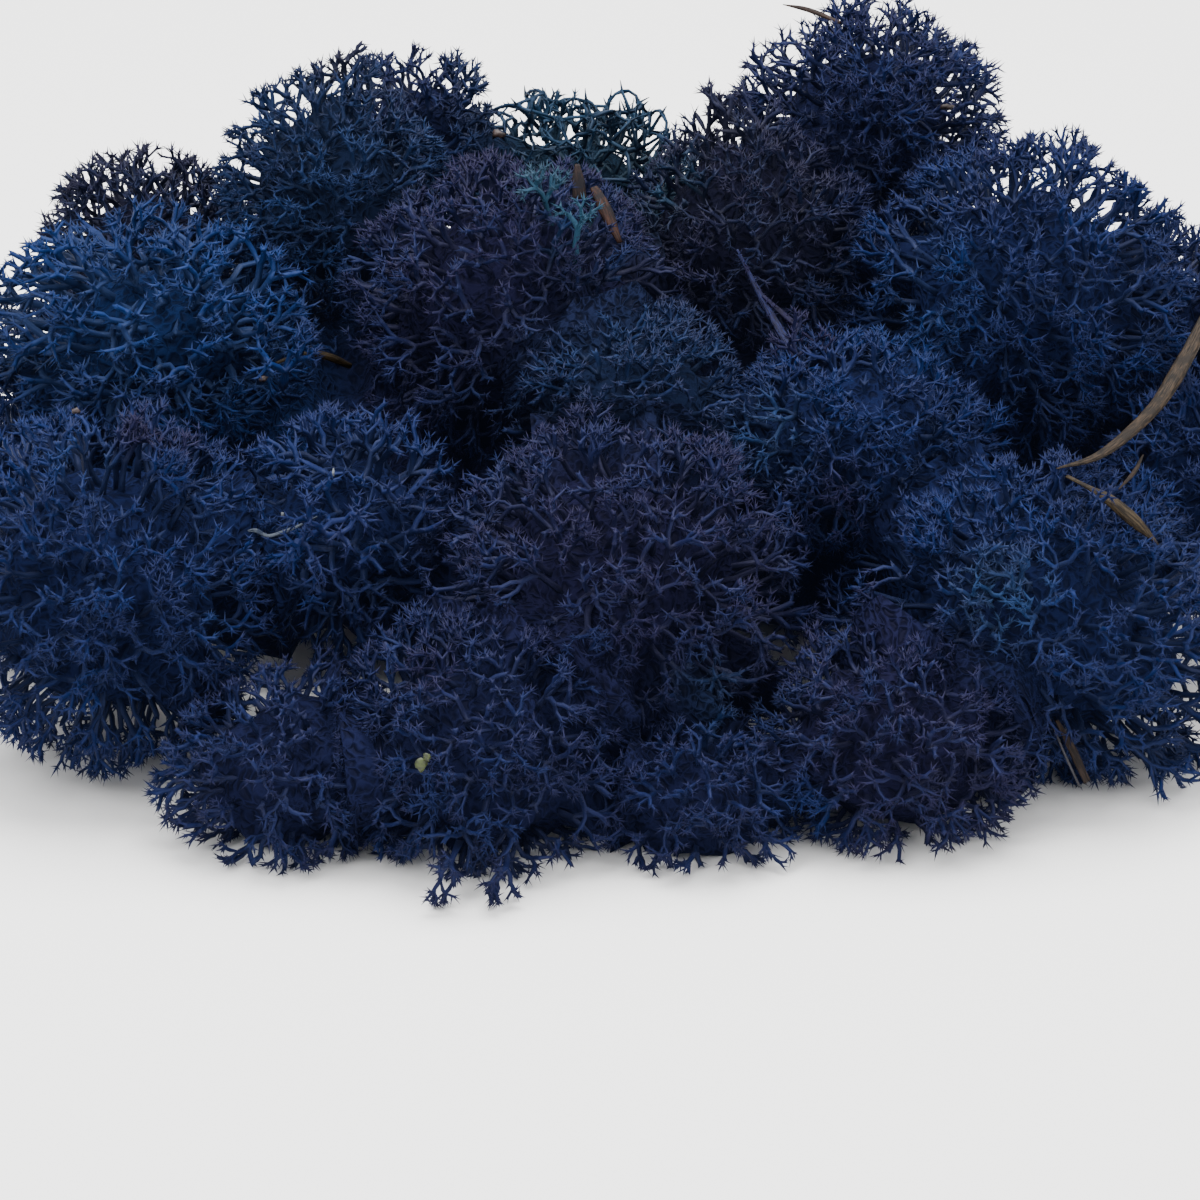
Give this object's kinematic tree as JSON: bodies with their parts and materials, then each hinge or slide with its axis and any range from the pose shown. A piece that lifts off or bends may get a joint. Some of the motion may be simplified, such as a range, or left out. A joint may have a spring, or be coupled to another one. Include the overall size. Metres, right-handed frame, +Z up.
{
  "type": "reindeer moss clump",
  "caption": "Low heap of dyed forked lichen tufts pressed together, with conifer needles, twigs and straw caught in them; lies on a flat underside.",
  "frame": {"origin": "middle of the flat underside, on the surface that the clump lies on", "axes": "+X to the right along the clump's width, +Y to its back, +Z up"},
  "size_m": [0.1455, 0.1319, 0.0581],
  "materials": {
    "moss_navy": "matt dry lichen, deep navy dye",
    "moss_blue": "matt dry lichen, blue dye",
    "moss_azure": "matt dry lichen, azure blue dye",
    "moss_slate": "matt dry lichen, slate blue dye",
    "moss_teal": "matt dry lichen, teal blue dye",
    "moss_purple": "matt dry lichen, blue dye gone purple-grey at the tips",
    "needle": "dry grey-brown conifer needle, grained lengthwise",
    "brown_scale": "dry brown bud scale or needle",
    "yellow_twig": "dry yellow-brown twig",
    "violet_twig": "twig that took the dye, violet-grey",
    "straw": "pale dry straw"
  },
  "bodies": {
    "root": {"tuft_low_front": "moss_navy", "tuft_front_centre": "moss_purple", "tuft_low_front_mid": "moss_navy", "tuft_low_front_left": "moss_navy", "tuft_front_left": "moss_blue", "tuft_left_open": "moss_blue", "tuft_left_upper": "moss_azure", "tuft_left_tall": "moss_slate", "tuft_back_left_small": "moss_navy", "tuft_far_left_dark": "moss_navy", "tuft_centre_purple": "moss_purple", "tuft_centre_teal": "moss_slate", "tuft_back_lacy": "moss_teal", "tuft_back_right_dark": "moss_navy", "tuft_right_peak": "moss_navy", "tuft_right_upper": "moss_azure", "tuft_right_mid": "moss_azure", "tuft_right_front": "moss_blue", "tuft_low_right": "moss_purple", "tuft_far_right": "moss_navy", "tuft_far_right_mid": "moss_blue", "tuft_left_edge": "moss_blue", "tuft_left_back_low": "moss_navy", "tuft_back_low_left": "moss_blue", "tuft_back_low_mid": "moss_navy", "tuft_back_low_right": "moss_blue", "tuft_right_back_low": "moss_navy", "tuft_inner_centre": "moss_navy", "tuft_inner_left": "moss_navy", "tuft_inner_right": "moss_navy", "needle_long": "needle", "needle_spindle": "needle", "needle_chip": "brown_scale", "bud_scale_upper": "brown_scale", "bud_scale_lower": "brown_scale", "needle_top": "brown_scale", "twig_yellow": "yellow_twig", "straw_pale": "straw", "needle_low_right": "brown_scale", "twig_forked": "violet_twig"}
  },
  "joints": []
}
